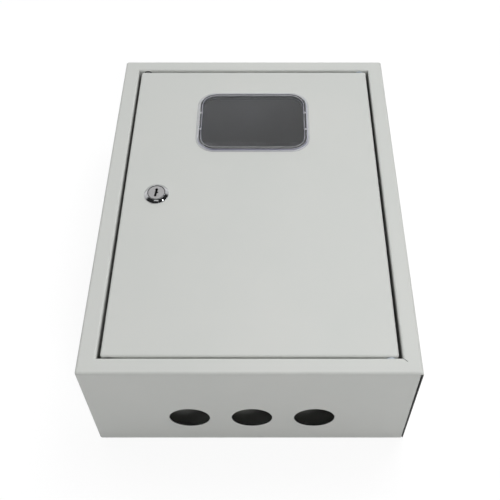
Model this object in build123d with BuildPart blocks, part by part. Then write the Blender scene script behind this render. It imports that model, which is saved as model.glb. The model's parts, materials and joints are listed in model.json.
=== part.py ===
from build123d import *
import os

# A wall-mounted metal enclosure, lying on its back with the door up. Sizes are in millimetres.
# Origin: centre of the back face. +Z runs out through the door, +Y to the top end, +X to the hinge side.

# Cabinet sheet
cabinet_width = 300.0
cabinet_height = 400.0
cabinet_depth = 140.0
sheet = 1.2
edge_fold = 1.2  # inside radius of the front and back folds
lip_fold = 0.8  # inside radius of the fold round the door opening
corner_ease = 0.15  # added to the fold's radius at an upright corner
frame_side = 16.6  # width of the front frame along the sides
frame_end = 15.4  # width of the front frame along the ends
back_flange = 15.0

# Open seam at the bottom right corner, where the two ends of the strip meet
seam_front = 2.6
seam_back = 2.0
seam_set_back = 0.6  # how far the side wall stops short of the end wall's face
seam_relief = 0.5  # of the seam's cut behind the end wall
seam_bite = 0.3  # of the seam's cut into the side wall
seam_margin = 1.0  # of the cut beyond the sheet's faces
mitre_slit_length = 5.0
mitre_slit_width = 0.6

# Cable entries in the bottom end
cable_hole_r = 19.0
cable_hole_pitch = 58.7
cable_hole_count = 3
cable_hole_height = 50.0  # above the back face
cable_hole_shift = 1.2  # of the middle hole to the hinge side

# Door
door_gap_side = 2.8
door_gap_end = 1.85
door_recess = 1.0  # door front below the frame front
door_return = 12.0  # depth of the folded rim
door_fold = 0.8  # inside radius of the rim's fold
seat_space = 2.1  # between the rim's edge and the end of the cabinet's lip

# Door stops on the lock side
stop_reach = 8.0
stop_length = 20.0
stop_spread = 130.0  # above and below the middle
stop_pad_air = 0.1
stop_pad_margin = 1.0

# Hinge
hinge_inset = 7.0  # from the door's side edge to the axis
hinge_behind = 5.2  # from the door's front to the axis
hinge_hole_r = 4.0
hinge_pin_r = 2.5
bush_fit = 0.05
bush_flange_overlap = 0.6
bush_flange_air = 0.5  # between the bush's flange and the door's rim
bush_tail = 1.0  # beyond the lip
pin_running = 0.05
pin_tail = 1.5
pin_head_r = 3.3
pin_head_height = 1.7
pin_hole_air = 0.1
clip_width = 0.8
clip_thickness = 0.8
clip_offset = 1.5  # from the bracket's ear
bracket_sheet = 1.5
bracket_ear_width = 12.5
bracket_inset = 12.0  # from the inside of the door's end rim to the ear
bracket_length = 18.0
bracket_depth = 9.2

# Window
window_width = 124.0
window_height = 90.2
window_corner = 21.0
window_drop = 80.25  # from the door's top edge to the window's middle
window_flange = 0.5  # thickness of the flange on the door
window_flange_width = 2.0  # from its edge to the rim
window_rim = 1.5  # proud of the door
window_overlap = 3.5  # of the flange and rim on the door
window_clearance = 0.2
window_skirt = 2.2
window_skirt_depth = 5.0  # behind the door's front
window_rim_ease = 0.6
window_rim_width = 3.8  # from the rim's outer edge to the sunk pane
window_sink = 0.8  # of the pane below the rim
hook_spread = 12.5
hook_width = 6.0
hook_reach = 1.0
hook_air = 0.1

# Lock
lock_inset = 33.6  # from the door's free edge to the lock's axis
lock_drop = 0.8  # of the axis below the door's middle
bezel_r = 12.5
bezel_height = 3.0
bezel_edge = 0.7
bezel_rim = 0.2  # flat ring round the face
face_r = 8.6
face_gap = 0.4
face_thickness = 1.0
face_sink = 0.15
barrel_r = 9.0
barrel_flat = 8.0  # from the axis to each flat
barrel_clearance = 0.2
plug_r = 6.0
plug_running = 0.05
lock_washer_thickness = 0.8
lock_washer_width = 2.5
lock_nut_across = 23.0
lock_nut_height = 4.0
lock_nut_air = 0.1
cam_air = 0.6  # between the cam and the end of the cabinet's lip
cam_thickness = 2.5
cam_width = 16.0
cam_overlap = 6.0  # past the lip when locked
cam_hole_air = 0.1
tang_size = 8.0
cam_washer_r = 6.0
cam_washer_thickness = 1.0
cam_screw_r = 2.5
cam_screw_head_r = 4.5
cam_screw_head = 3.0
cam_screw_length = 10.0
key_slot_length = 10.3
key_slot_width = 1.9
key_lobe_r = 1.35  # of the round end at the slot's top
key_foot_r = 1.15  # of the round end at its bottom
key_ward_r = 0.8  # of the ward beside the slot
key_slot_shift = 0.3  # of the slot to the free side
key_slot_depth = 8.0
key_slot_tilt = -6.0  # the slot's top leans to the hinge side

# Back panel and mounting plate
wall_hole_r = 4.25
wall_hole_inset = 25.0  # from the cabinet's sides and ends
panel_air = 0.3
plate_margin_side = 36.0
plate_margin_end = 36.0
plate_sheet = 1.5
plate_flange = 8.0
plate_fold = 1.0
stud_r = 3.0
stud_inset_side = 14.0  # from the plate's edges
stud_inset_end = 14.0
stud_tip = 3.0  # beyond the nut
stud_air = 0.2
spacer_r = 6.0
spacer_length = 15.0
nut_across = 10.0
nut_flange_r = 6.5
nut_height = 6.0
nut_flange = 1.2

# Mounting rail, a 35 by 7.5 top-hat section
rail_width = 35.0
rail_height = 7.5
rail_sheet = 1.0
rail_base = 27.0
rail_margin = 24.0  # from the plate's sides
rail_rise = 104.0  # of its middle above the plate's bottom edge
rail_slot_length = 15.0
rail_slot_width = 6.2
rail_slot_end = 15.0  # from the rail's end to the middle of the last slot
rail_slot_count = 7
rail_screw_r = 2.5

# Terminal bars for neutral and earth
bar_width = 8.0
bar_height = 9.0
bar_pitch = 9.0
bar_ways = 7
bar_end = 9.0  # from the last way to the bar's end
bar_wire_r = 2.6
bar_rise = 30.0  # above the plate's bottom edge
bar_spread = 52.0  # either side of the middle
foot_length = 10.0
foot_width = 14.0
foot_height = 11.0
clamp_screw_r = 2.0
clamp_screw_head_r = 3.2
fixing_screw_r = 1.8
screw_air = 0.05
screw_head_height = 2.2
screw_slot = 0.8
screw_tail = 4.0  # beyond the mounting plate

# Earth studs
earth_stud_length = 16.0
earth_stud_inset = 20.0  # of the cabinet's stud from the side, and of the door's from the hinge bracket
earth_stud_rise = 100.0  # of the cabinet's stud from the bottom end
door_stud_rise = 32.0  # of the door's stud from the door's bottom edge
earth_washer_r = 7.0
earth_washer_thickness = 1.6

# Places that follow from those sizes
opening_width = cabinet_width - 2 * frame_side
opening_height = cabinet_height - 2 * frame_end
door_width = opening_width - 2 * door_gap_side
door_height = opening_height - 2 * door_gap_end
door_front = cabinet_depth - door_recess
door_inside = door_front - sheet
door_back = door_front - door_return
lip_end = door_back - seat_space
hinge_x = door_width / 2 - hinge_inset
hinge_z = door_front - hinge_behind
lock_x = lock_inset - door_width / 2
lock_y = -lock_drop
cam_top = lip_end - cam_air
window_y = door_height / 2 - window_drop
back_inside = 2 * sheet
plate_width = cabinet_width - 2 * plate_margin_side
plate_height = cabinet_height - 2 * plate_margin_end
plate_back = back_inside + spacer_length
plate_front = plate_back + plate_sheet
rail_length = plate_width - 2 * rail_margin
rail_slot_pitch = (rail_length - 2 * rail_slot_end) / (rail_slot_count - 1)
rail_y = rail_rise - plate_height / 2
bar_y = bar_rise - plate_height / 2
bar_length = bar_pitch * (bar_ways - 1) + 2 * bar_end + 2 * foot_length

os.makedirs("parts", exist_ok=True)


def save(piece, node):
    """Label a finished piece and write its file."""
    piece.part.label = node
    export_step(piece.part, f"parts/{node}.step")


def folded_block(width, height, low, high, fold, whole_back=False, seam=False):
    """A block with the rounded corners and edges of folded sheet. A seam corner stays square."""
    with BuildPart() as block:
        with BuildSketch(Plane.XY.offset(low)) as outline:
            Rectangle(width, height)
            corners = outline.vertices().sort_by(lambda corner: corner.Y - corner.X)
            fillet(corners[1:] if seam else corners, fold + corner_ease)
        extrude(amount=high - low)
        ends = block.faces().sort_by(Axis.Z)
        rims = ends[-1:] if whole_back else ends[:1] + ends[-1:]
        fillet(rims.edges(), fold)
    return block.part


def hex_nut(across, bore_r, height, flange_r=0.0, flange=0.0):
    """A hexagon nut standing on the origin, with an optional washer flange."""
    with BuildPart() as nut:
        with BuildSketch():
            RegularPolygon(across / 2, 6, major_radius=False)
        extrude(amount=height)
        chamfer(nut.faces().sort_by(Axis.Z)[-1].edges(), height / 12)
        if flange > 0:
            Cylinder(flange_r, flange, align=(Align.CENTER, Align.CENTER, Align.MIN))
        Cylinder(bore_r, 3 * height, mode=Mode.SUBTRACT)
    return nut.part


def washer(outer_r, bore_r, thickness):
    """A flat ring standing on the origin."""
    with BuildPart() as ring:
        with BuildSketch():
            Circle(outer_r)
            Circle(bore_r, mode=Mode.SUBTRACT)
        extrude(amount=thickness)
    return ring.part


def slotted_screw(shank_r, shank_length, head_r, head_height):
    """A cheese-head screw, its head standing on the origin and its shank pointing down."""
    with BuildPart() as screw:
        Cylinder(head_r, head_height, align=(Align.CENTER, Align.CENTER, Align.MIN))
        top = screw.faces().sort_by(Axis.Z)[-1]
        fillet(top.edges(), head_height / 5)
        Cylinder(shank_r, shank_length, align=(Align.CENTER, Align.CENTER, Align.MAX))
        chamfer(screw.faces().sort_by(Axis.Z)[0].edges(), shank_r / 4)
        with Locations((0, 0, head_height)):
            Box(3 * head_r, screw_slot, head_height, mode=Mode.SUBTRACT)
    return screw.part


def threaded_stud(length):
    """A plain stud standing on the origin, with a chamfered tip."""
    with BuildPart() as stud:
        Cylinder(stud_r, length, align=(Align.CENTER, Align.CENTER, Align.MIN))
        chamfer(stud.faces().sort_by(Axis.Z)[-1].edges(), stud_r / 5)
    return stud.part


def stud_spots():
    """The four corners of the mounting plate where it sits on its studs."""
    return GridLocations(plate_width - 2 * stud_inset_side, plate_height - 2 * stud_inset_end, 2, 2)


def rail_screw_spots():
    """The first and last slots of the rail."""
    return GridLocations(rail_slot_pitch * (rail_slot_count - 1), 0, 2, 1)


def foot_spots():
    """Both ends of a terminal bar."""
    return GridLocations(bar_length - foot_length, 0, 2, 1)


def way_spots():
    """The ways of a terminal bar."""
    return GridLocations(bar_pitch, 0, bar_ways, 1)


# Cabinet shell: one folded strip with its front frame, lip, back flange and stop tabs
with BuildPart() as cabinet_shell:
    add(folded_block(cabinet_width, cabinet_height, 0, cabinet_depth, edge_fold + sheet, seam=True))
    add(
        folded_block(
            cabinet_width - 2 * sheet,
            cabinet_height - 2 * sheet,
            sheet,
            cabinet_depth - sheet,
            edge_fold,
            seam=True,
        ),
        mode=Mode.SUBTRACT,
    )
    # Lip round the door opening
    with BuildSketch(Plane.XY.offset(lip_end)):
        Rectangle(opening_width + 2 * sheet, opening_height + 2 * sheet)
    extrude(amount=cabinet_depth - sheet - lip_end)
    with BuildSketch(Plane.XY.offset(lip_end)):
        Rectangle(opening_width, opening_height)
    extrude(amount=cabinet_depth, mode=Mode.SUBTRACT)
    near = sheet / 10
    front_rim = cabinet_shell.edges().filter_by_position(Axis.Z, cabinet_depth - near, cabinet_depth + near)
    front_rim = front_rim.filter_by(lambda edge: abs(edge.center().X) < opening_width / 2 + near)
    front_rim = front_rim.filter_by(lambda edge: abs(edge.center().Y) < opening_height / 2 + near)
    fillet(front_rim, lip_fold + sheet)
    behind = cabinet_depth - sheet
    back_rim = cabinet_shell.edges().filter_by_position(Axis.Z, behind - near, behind + near)
    back_rim = back_rim.filter_by(lambda edge: abs(edge.center().X) < opening_width / 2 + sheet + near)
    back_rim = back_rim.filter_by(lambda edge: abs(edge.center().Y) < opening_height / 2 + sheet + near)
    fillet(back_rim, lip_fold)
    # Stop tabs turned in from the end of the lip on the lock side
    with Locations((-opening_width / 2 - sheet, 0, lip_end)):
        with GridLocations(0, 2 * stop_spread, 1, 2):
            Box(sheet + stop_reach, stop_length, sheet, align=(Align.MIN, Align.CENTER, Align.MIN))
    # Open back inside the flange
    with BuildSketch():
        Rectangle(cabinet_width - 2 * back_flange, cabinet_height - 2 * back_flange)
    extrude(amount=2 * sheet, mode=Mode.SUBTRACT)
    # Cable entries
    with BuildSketch(Plane.XZ.offset(cabinet_height / 2)):
        with Locations((cable_hole_shift, cable_hole_height)):
            with GridLocations(cable_hole_pitch, 0, cable_hole_count, 1):
                Circle(cable_hole_r)
    extrude(amount=-2 * sheet, mode=Mode.SUBTRACT)
    # Hinge holes at all four corners of the lip, so the door can be hung on either side
    with BuildSketch(Plane.XZ):
        with Locations((0, hinge_z)):
            with GridLocations(2 * hinge_x, 0, 2, 1):
                Circle(hinge_hole_r)
    extrude(amount=opening_height / 2 + 2 * sheet, both=True, mode=Mode.SUBTRACT)
    # Seam and mitre slit
    seam_top = cabinet_depth - sheet - edge_fold / 2
    seam_wall = cabinet_width / 2 - sheet + seam_bite
    with BuildSketch(Plane.XZ.offset(cabinet_height / 2 + seam_margin)):
        with BuildLine():
            Polyline(
                (cabinet_width / 2 - seam_front, seam_top),
                (seam_wall, seam_top),
                (seam_wall, -seam_margin),
                (cabinet_width / 2 - seam_back, -seam_margin),
                close=True,
            )
        make_face()
    extrude(amount=-sheet - seam_relief - seam_margin, mode=Mode.SUBTRACT)
    with BuildSketch(Plane.XZ.offset(cabinet_height / 2 + seam_margin)):
        with Locations((seam_wall, seam_top)):
            Rectangle(sheet + seam_margin, seam_top + seam_margin, align=(Align.MIN, Align.MAX))
    extrude(amount=-seam_set_back - seam_margin, mode=Mode.SUBTRACT)
    with BuildSketch(Plane.XY.offset(lip_end - seam_margin)):
        with Locations(Location((opening_width / 2, -opening_height / 2, 0), (0, 0, -45))):
            Rectangle(2 * mitre_slit_length, mitre_slit_width)
    extrude(amount=cabinet_depth, mode=Mode.SUBTRACT)
save(cabinet_shell, "cabinet_shell")

# Back panel, spot-welded on the back flange
panel_gap = sheet + edge_fold + panel_air
with BuildPart() as back_panel:
    with BuildSketch(Plane.XY.offset(sheet)):
        RectangleRounded(cabinet_width - 2 * panel_gap, cabinet_height - 2 * panel_gap, 2 * edge_fold)
        with GridLocations(cabinet_width - 2 * wall_hole_inset, cabinet_height - 2 * wall_hole_inset, 2, 2):
            Circle(wall_hole_r, mode=Mode.SUBTRACT)
    extrude(amount=sheet)
save(back_panel, "back_panel")

# Pads on the stop tabs
with BuildPart() as stop_pads:
    with Locations((-opening_width / 2 + stop_pad_margin, 0, lip_end + sheet)):
        with GridLocations(0, 2 * stop_spread, 1, 2):
            Box(
                stop_reach - 2 * stop_pad_margin,
                stop_length - 2 * stop_pad_margin,
                seat_space - sheet - stop_pad_air,
                align=(Align.MIN, Align.CENTER, Align.MIN),
            )
save(stop_pads, "stop_pads")

# Mounting plate with its long edges folded back, on four studs
plate_edge = plate_width / 2 - plate_sheet / 2
with BuildPart() as mounting_plate:
    with BuildSketch(Plane((0, 0, plate_front), x_dir=(1, 0, 0), z_dir=(0, -1, 0))):
        with BuildLine():
            FilletPolyline(
                (-plate_edge, -plate_flange),
                (-plate_edge, -plate_sheet / 2),
                (plate_edge, -plate_sheet / 2),
                (plate_edge, -plate_flange),
                radius=plate_fold + plate_sheet / 2,
            )
        trace(line_width=plate_sheet)
    extrude(amount=plate_height / 2, both=True)
    with BuildSketch(Plane.XY.offset(plate_back)):
        with stud_spots():
            Circle(stud_r + stud_air)
        with Locations((0, rail_y)):
            with rail_screw_spots():
                Circle(rail_screw_r + screw_air)
        with Locations((-bar_spread, bar_y), (bar_spread, bar_y)):
            with foot_spots():
                Circle(fixing_screw_r + screw_air)
    extrude(amount=plate_sheet, mode=Mode.SUBTRACT)
save(mounting_plate, "mounting_plate")

stud_length = spacer_length + plate_sheet + nut_height + stud_tip
with BuildPart(Plane.XY.offset(back_inside)) as plate_studs:
    with stud_spots():
        add(threaded_stud(stud_length))
save(plate_studs, "plate_studs")

with BuildPart(Plane.XY.offset(back_inside)) as plate_spacers:
    with stud_spots():
        add(washer(spacer_r, stud_r + stud_air, spacer_length))
save(plate_spacers, "plate_spacers")

with BuildPart(Plane.XY.offset(plate_front)) as plate_nuts:
    with stud_spots():
        add(hex_nut(nut_across, stud_r + screw_air, nut_height, nut_flange_r, nut_flange))
save(plate_nuts, "plate_nuts")

# Mounting rail and its screws
rail_half = rail_width / 2
rail_web = rail_base / 2 - rail_sheet / 2
rail_floor = rail_sheet / 2
rail_brim = rail_height - rail_sheet / 2
with BuildPart() as din_rail:
    with BuildSketch(Plane((0, rail_y, plate_front), x_dir=(0, 1, 0), z_dir=(1, 0, 0))):
        with BuildLine():
            FilletPolyline(
                (-rail_half, rail_brim),
                (-rail_web, rail_brim),
                (-rail_web, rail_floor),
                (rail_web, rail_floor),
                (rail_web, rail_brim),
                (rail_half, rail_brim),
                radius=rail_sheet,
            )
        trace(line_width=rail_sheet)
    extrude(amount=rail_length / 2, both=True)
    with BuildSketch(Plane((0, rail_y, plate_front))):
        with GridLocations(rail_slot_pitch, 0, rail_slot_count, 1):
            SlotOverall(rail_slot_length, rail_slot_width)
    extrude(amount=rail_sheet, mode=Mode.SUBTRACT)
save(din_rail, "din_rail")

rail_screw_length = rail_sheet + plate_sheet + screw_tail
with BuildPart(Plane((0, rail_y, plate_front + rail_sheet))) as rail_screws:
    with rail_screw_spots():
        add(slotted_screw(rail_screw_r, rail_screw_length, 2 * rail_screw_r, screw_head_height))
save(rail_screws, "rail_screws")


def terminal_bar(name, x):
    """A terminal bar on two feet, with a clamp screw for each way and a fixing screw at each end."""
    bar_back = plate_front + foot_height
    bar_front = bar_back + bar_height
    with BuildPart(Plane((x, bar_y, bar_back))) as bar:
        Box(bar_length, bar_width, bar_height, align=(Align.CENTER, Align.CENTER, Align.MIN))
        chamfer(bar.edges().filter_by(Axis.X), bar_width / 16)
        with foot_spots():
            Cylinder(fixing_screw_r + screw_air, 3 * bar_height, mode=Mode.SUBTRACT)
        with Locations((0, 0, bar_height)):
            with way_spots():
                Cylinder(clamp_screw_r + screw_air, bar_height, mode=Mode.SUBTRACT)
        with Locations((0, 0, bar_wire_r + bar_height / 8)):
            with way_spots():
                Cylinder(bar_wire_r, 2 * bar_width, rotation=(90, 0, 0), mode=Mode.SUBTRACT)
    save(bar, f"{name}_bar")
    with BuildPart(Plane((x, bar_y, plate_front))) as feet:
        with foot_spots():
            Box(foot_length, foot_width, foot_height, align=(Align.CENTER, Align.CENTER, Align.MIN))
        fillet(feet.edges().filter_by(Axis.Z), foot_length / 10)
        with foot_spots():
            Cylinder(fixing_screw_r + screw_air, 3 * foot_height, mode=Mode.SUBTRACT)
    save(feet, f"{name}_bar_feet")
    with BuildPart(Plane((x, bar_y, bar_front))) as clamps:
        with way_spots():
            add(slotted_screw(clamp_screw_r, bar_height / 4, clamp_screw_head_r, screw_head_height))
    save(clamps, f"{name}_clamp_screws")
    fixing_length = bar_height + foot_height + plate_sheet + screw_tail
    with BuildPart(Plane((x, bar_y, bar_front))) as fixings:
        with foot_spots():
            add(slotted_screw(fixing_screw_r, fixing_length, 2 * fixing_screw_r, screw_head_height))
    save(fixings, f"{name}_fixing_screws")


terminal_bar("neutral", -bar_spread)
terminal_bar("earth", bar_spread)


def earth_point(name, plane):
    """A welded earth stud standing on a plane, with its washer and nut."""
    with BuildPart(plane) as stud:
        add(threaded_stud(earth_stud_length))
    save(stud, f"{name}_earth_stud")
    with BuildPart(plane) as ring:
        add(washer(earth_washer_r, stud_r + stud_air, earth_washer_thickness))
    save(ring, f"{name}_earth_washer")
    with BuildPart(plane.offset(earth_washer_thickness)) as nut:
        add(hex_nut(nut_across, stud_r + screw_air, nut_height))
    save(nut, f"{name}_earth_nut")


cabinet_stud_x = cabinet_width / 2 - earth_stud_inset
cabinet_stud_y = earth_stud_rise - cabinet_height / 2
earth_point("cabinet", Plane((cabinet_stud_x, cabinet_stud_y, back_inside)))
door_stud_x = hinge_x - earth_stud_inset
door_stud_y = door_stud_rise - door_height / 2
earth_point("door", Plane((door_stud_x, door_stud_y, door_inside), z_dir=(0, 0, -1)))

# Door panel: a folded pan, open for the window, the lock and the hinge pins
skirt_width = window_width - 2 * window_overlap - 2 * window_clearance
skirt_height = window_height - 2 * window_overlap - 2 * window_clearance
skirt_corner = window_corner - window_overlap - window_clearance


def double_d(radius, flat):
    """Draw a round lock outline with two flats in the open sketch."""
    Circle(radius)
    Rectangle(2 * flat, 2 * radius, mode=Mode.INTERSECT)


def lock_plane(z, facing=1):
    """A plane across the lock's axis, facing the front, or the back for -1."""
    return Plane((lock_x, lock_y, z), x_dir=(1, 0, 0), z_dir=(0, 0, facing))


with BuildPart() as door_panel:
    add(folded_block(door_width, door_height, door_back, door_front, door_fold + sheet, whole_back=True))
    add(
        folded_block(
            door_width - 2 * sheet,
            door_height - 2 * sheet,
            door_back,
            door_inside,
            door_fold,
            whole_back=True,
        ),
        mode=Mode.SUBTRACT,
    )
    with BuildSketch(Plane.XY.offset(door_inside)):
        with Locations((0, window_y)):
            RectangleRounded(
                skirt_width + 2 * window_clearance,
                skirt_height + 2 * window_clearance,
                skirt_corner + window_clearance,
            )
    extrude(amount=sheet, mode=Mode.SUBTRACT)
    with BuildSketch(lock_plane(door_inside)):
        double_d(barrel_r + barrel_clearance, barrel_flat + barrel_clearance)
    extrude(amount=sheet, mode=Mode.SUBTRACT)
    with BuildSketch(Plane.XZ):
        with Locations((hinge_x, hinge_z)):
            Circle(hinge_pin_r + pin_hole_air)
    extrude(amount=door_height, both=True, mode=Mode.SUBTRACT)
save(door_panel, "door_panel")

# Clear window: flange, rim and sunk pane in one, with a skirt through the door and two hooks on each side
with BuildPart() as window_pane:
    with BuildSketch(Plane((0, window_y, door_front))):
        RectangleRounded(window_width, window_height, window_corner)
    extrude(amount=window_flange)
    with BuildSketch(Plane((0, window_y, door_front))):
        RectangleRounded(
            window_width - 2 * window_flange_width,
            window_height - 2 * window_flange_width,
            window_corner - window_flange_width,
        )
    extrude(amount=window_rim)
    fillet(window_pane.faces().sort_by(Axis.Z)[-1].edges(), window_rim_ease)
    pane_inset = window_flange_width + window_rim_width
    with BuildSketch(Plane((0, window_y, door_front + window_rim))):
        RectangleRounded(
            window_width - 2 * pane_inset,
            window_height - 2 * pane_inset,
            window_corner - pane_inset,
        )
    extrude(amount=-window_sink, mode=Mode.SUBTRACT)
    with BuildSketch(Plane((0, window_y, door_front - window_skirt_depth))):
        RectangleRounded(skirt_width, skirt_height, skirt_corner)
        RectangleRounded(
            skirt_width - 2 * window_skirt,
            skirt_height - 2 * window_skirt,
            skirt_corner - window_skirt,
            mode=Mode.SUBTRACT,
        )
    extrude(amount=window_skirt_depth)
    hook_low = door_front - window_skirt_depth
    hook_high = door_inside - hook_air
    hook_reached = skirt_width / 2 + window_clearance + hook_reach
    for hook_y in (window_y - hook_spread, window_y + hook_spread):
        with BuildSketch(Plane((0, hook_y, 0), x_dir=(1, 0, 0), z_dir=(0, -1, 0))):
            with BuildLine():
                Polyline(
                    (skirt_width / 2 - window_skirt / 2, hook_low),
                    (skirt_width / 2, hook_low),
                    (hook_reached, hook_high),
                    (skirt_width / 2 - window_skirt / 2, hook_high),
                    close=True,
                )
            make_face()
            mirror(about=Plane.YZ)
        extrude(amount=hook_width / 2, both=True)
save(window_pane, "window_pane")

# Hinge: a flanged bush in the cabinet's lip and a pin on a bracket of the door, at each end
lip_face = opening_height / 2
rim_inside = door_height / 2 - sheet
ear_outer = rim_inside - bracket_inset
ear_inner = ear_outer - bracket_sheet
bracket_side = door_width / 2 - sheet
bracket_front = door_inside - door_fold


def hinge_plane(end, distance):
    """A plane across the hinge axis, facing away from the middle of the door."""
    return Plane((hinge_x, end * distance, hinge_z), x_dir=(1, 0, 0), z_dir=(0, end, 0))


def hinge_set(name, end):
    """The bush, pin and bracket at one end of the door. End is 1 for the top and -1 for the bottom."""
    with BuildPart(hinge_plane(end, lip_face)) as bush:
        Cylinder(
            hinge_hole_r + bush_flange_overlap,
            door_gap_end - bush_flange_air,
            align=(Align.CENTER, Align.CENTER, Align.MAX),
        )
        Cylinder(hinge_hole_r - bush_fit, sheet + bush_tail, align=(Align.CENTER, Align.CENTER, Align.MIN))
        Cylinder(hinge_pin_r + pin_running, 4 * (sheet + bush_tail), mode=Mode.SUBTRACT)
    save(bush, f"hinge_bush_{name}")
    pin_length = lip_face + sheet + pin_tail - ear_inner
    with BuildPart(hinge_plane(end, ear_inner)) as pin:
        Cylinder(hinge_pin_r, pin_length, align=(Align.CENTER, Align.CENTER, Align.MIN))
        tip = pin.edges().sort_by(lambda edge: end * edge.center().Y)[-1]
        chamfer(tip, hinge_pin_r / 5)
        Cylinder(pin_head_r, pin_head_height, align=(Align.CENTER, Align.CENTER, Align.MAX))
    save(pin, f"hinge_pin_{name}")
    with BuildPart() as bracket:
        with Locations((bracket_side, end * ear_outer, bracket_front)):
            Box(
                bracket_sheet,
                bracket_length,
                bracket_depth,
                align=(Align.MAX, Align.MAX if end > 0 else Align.MIN, Align.MAX),
            )
            Box(
                bracket_ear_width,
                bracket_sheet,
                bracket_depth,
                align=(Align.MAX, Align.MAX if end > 0 else Align.MIN, Align.MAX),
            )
        with BuildSketch(hinge_plane(end, ear_outer)):
            Circle(hinge_pin_r + pin_running)
        extrude(amount=-2 * bracket_sheet, mode=Mode.SUBTRACT)
    save(bracket, f"hinge_bracket_{name}")


hinge_set("upper", 1)
hinge_set("lower", -1)

# Retaining clips on the two pins
with BuildPart() as hinge_clips:
    for end in (1, -1):
        with BuildSketch(hinge_plane(end, ear_outer + clip_offset)):
            Circle(hinge_pin_r + clip_width)
            Circle(hinge_pin_r + pin_running, mode=Mode.SUBTRACT)
        extrude(amount=clip_thickness)
save(hinge_clips, "hinge_clips")

# Lock barrel: bevelled bezel on the door's front and a flatted barrel through it
bezel_top = door_front + bezel_height
face_seat = bezel_top - face_sink - face_thickness
barrel_end = cam_top + cam_hole_air
cam_back = cam_top - cam_thickness
with BuildPart() as lock_barrel:
    with BuildSketch(Plane((lock_x, lock_y, door_front), x_dir=(1, 0, 0), z_dir=(0, -1, 0))):
        with BuildLine():
            Polyline(
                (0, 0),
                (bezel_r, 0),
                (bezel_r, bezel_edge),
                (face_r + face_gap + bezel_rim, bezel_height),
                (0, bezel_height),
                close=True,
            )
        make_face()
    revolve(axis=Axis((lock_x, lock_y, 0), (0, 0, 1)))
    with BuildSketch(lock_plane(barrel_end)):
        double_d(barrel_r, barrel_flat)
    extrude(amount=door_front - barrel_end)
    with BuildSketch(lock_plane(face_seat)):
        Circle(face_r + face_gap)
    extrude(amount=bezel_height, mode=Mode.SUBTRACT)
    with BuildSketch(lock_plane(barrel_end)):
        Circle(plug_r + plug_running)
    extrude(amount=bezel_top - barrel_end, mode=Mode.SUBTRACT)
save(lock_barrel, "lock_barrel")

with BuildPart(lock_plane(door_inside, -1)) as lock_washer:
    add(washer(barrel_r + lock_washer_width, barrel_r + lock_nut_air, lock_washer_thickness))
save(lock_washer, "lock_washer")

with BuildPart(lock_plane(door_inside - lock_washer_thickness, -1)) as lock_nut:
    add(hex_nut(lock_nut_across, barrel_r + lock_nut_air, lock_nut_height))
save(lock_nut, "lock_nut")

# Lock plug: a round face with a warded key slot, on a stem that ends in a square tang
with BuildPart() as lock_plug:
    with BuildSketch(lock_plane(face_seat)):
        Circle(face_r)
    extrude(amount=face_thickness)
    chamfer(lock_plug.edges().sort_by(Axis.Z)[-1], face_thickness / 4)
    with BuildSketch(lock_plane(barrel_end)):
        Circle(plug_r)
    extrude(amount=face_seat - barrel_end)
    with BuildSketch(lock_plane(cam_back + cam_hole_air)):
        Rectangle(tang_size, tang_size)
    extrude(amount=barrel_end - cam_back - cam_hole_air)
    with BuildSketch(lock_plane(cam_back)):
        Circle(cam_screw_r + screw_air)
    extrude(amount=cam_screw_length - cam_washer_thickness + cam_hole_air, mode=Mode.SUBTRACT)
    with BuildSketch(lock_plane(face_seat + face_thickness)):
        with Locations(Location((-key_slot_shift, 0, 0), (0, 0, key_slot_tilt))):
            SlotOverall(key_slot_length, key_slot_width, rotation=90)
            with Locations((0, key_slot_length / 2 - key_lobe_r)):
                Circle(key_lobe_r)
            with Locations((0, key_foot_r - key_slot_length / 2)):
                Circle(key_foot_r)
            with Locations((key_slot_width / 2 + key_ward_r / 2, 0)):
                Circle(key_ward_r)
    extrude(amount=-key_slot_depth, mode=Mode.SUBTRACT)
save(lock_plug, "lock_plug")

# Cam on the tang, pointing to the top end while the lock is open, with its washer and screw
cam_reach = lock_inset + door_gap_side + sheet + cam_overlap
with BuildPart() as lock_cam:
    with BuildSketch(lock_plane(cam_back)) as cam_outline:
        Rectangle(cam_width, cam_reach, align=(Align.CENTER, Align.MIN))
        chamfer(cam_outline.vertices().group_by(Axis.Y)[-1], cam_width / 4)
        Circle(cam_width / 2)
        Rectangle(tang_size + 2 * cam_hole_air, tang_size + 2 * cam_hole_air, mode=Mode.SUBTRACT)
    extrude(amount=cam_thickness)
save(lock_cam, "lock_cam")

with BuildPart(lock_plane(cam_back, -1)) as cam_washer:
    add(washer(cam_washer_r, cam_screw_r + screw_air, cam_washer_thickness))
save(cam_washer, "cam_washer")

with BuildPart(lock_plane(cam_back - cam_washer_thickness, -1)) as cam_screw:
    add(slotted_screw(cam_screw_r, cam_screw_length, cam_screw_head_r, cam_screw_head))
save(cam_screw, "cam_screw")
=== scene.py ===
import json
import math

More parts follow.
